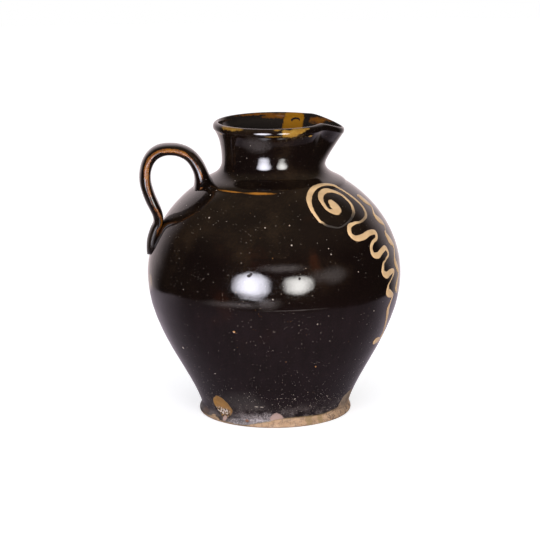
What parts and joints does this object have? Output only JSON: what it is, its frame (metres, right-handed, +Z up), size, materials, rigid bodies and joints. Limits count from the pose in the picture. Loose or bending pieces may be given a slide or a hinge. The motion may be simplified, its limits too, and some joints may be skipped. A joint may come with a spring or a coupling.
{
  "type": "glazed pitcher",
  "caption": "Round-bellied earthenware pitcher with a short flared neck, a pulled spout, a strap handle and trailed slip ornament under a dark glaze.",
  "frame": {"origin": "centre of the foot's flat resting face, on the turning axis", "axes": "+Z up along the turning axis, +X towards the spout, -X towards the handle"},
  "size_m": [0.2302, 0.2248, 0.2612],
  "materials": {
    "dark_glaze": "glossy",
    "cream_slip": "glossy"
  },
  "bodies": {
    "root": {"body": "dark_glaze", "handle": "dark_glaze", "right_spiral_trail": "cream_slip", "right_wave_trail": "cream_slip", "left_spiral_trail": "cream_slip", "left_wave_trail": "cream_slip"}
  },
  "joints": []
}
